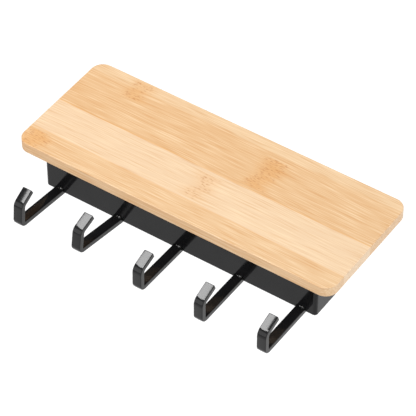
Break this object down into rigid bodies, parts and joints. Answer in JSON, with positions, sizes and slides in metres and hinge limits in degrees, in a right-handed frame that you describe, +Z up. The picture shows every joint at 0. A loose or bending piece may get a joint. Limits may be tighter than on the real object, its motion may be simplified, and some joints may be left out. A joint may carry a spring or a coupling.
{
  "type": "wall hook rack",
  "caption": "Shelf-topped hook rack for a wall: a laminated bamboo board on a black sheet-steel housing with a row of bent flat-bar hooks along its lower front edge.",
  "frame": {"origin": "middle of the wall plate's rear face, which lies on the wall", "axes": "+X along the board, +Y into the wall, +Z up; the hooks point to -Y"},
  "size_m": [0.26, 0.1377, 0.0443],
  "materials": {
    "bamboo": "satin lacquered laminated bamboo with long grain along X",
    "black_paint": "gloss black paint",
    "zinc_steel": "bright zinc plate"
  },
  "bodies": {
    "root": {"board_screw_1": "zinc_steel", "board_screw_2": "zinc_steel", "board_screw_3": "zinc_steel", "board_screw_4": "zinc_steel", "board_screw_5": "zinc_steel", "board_screw_6": "zinc_steel", "hook_1": "black_paint", "hook_2": "black_paint", "hook_3": "black_paint", "hook_4": "black_paint", "hook_5": "black_paint", "hook_rail": "black_paint", "hook_screw_1": "zinc_steel", "hook_screw_2": "zinc_steel", "hook_screw_3": "zinc_steel", "hook_screw_4": "zinc_steel", "hook_screw_5": "zinc_steel", "housing": "black_paint", "plate_rivet_1": "zinc_steel", "plate_rivet_2": "zinc_steel", "plate_rivet_3": "zinc_steel", "plate_rivet_4": "zinc_steel", "shelf_board": "bamboo", "wall_plate": "black_paint"}
  },
  "joints": []
}
